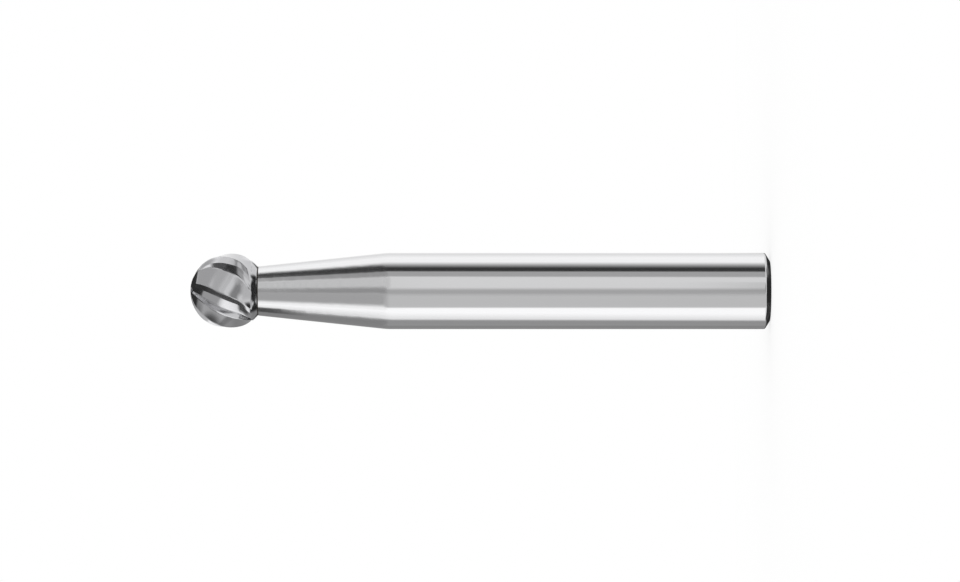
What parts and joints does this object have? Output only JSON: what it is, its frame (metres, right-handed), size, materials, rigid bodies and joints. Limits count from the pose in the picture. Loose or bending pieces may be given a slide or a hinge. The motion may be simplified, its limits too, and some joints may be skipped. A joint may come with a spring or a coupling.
{
  "type": "ball-nosed carbide burr",
  "caption": "Small rotary burr: a fluted ball of carbide brazed on the tapered neck of a plain round steel shank, for shaping metal in a hand grinder.",
  "frame": {"origin": "centre of the flat end face of the shank, which the burr stands on", "axes": "+Z along the tool axis from the shank's end to the ball's apex; +X and +Y are square to it, with one cutting edge about 57 degrees clockwise of +X at the ball's equator, seen from the apex"},
  "size_m": [0.006, 0.006, 0.0456],
  "materials": {
    "ground_steel": "finely ground tool steel, bright",
    "ground_carbide": "sintered tungsten carbide, ground bright in the flutes and on the lands",
    "silver_braze": "silver braze, darkened by the brazing heat"
  },
  "bodies": {
    "root": {"steel_shank": "ground_steel", "braze_seam": "silver_braze", "carbide_head": "ground_carbide"}
  },
  "joints": []
}
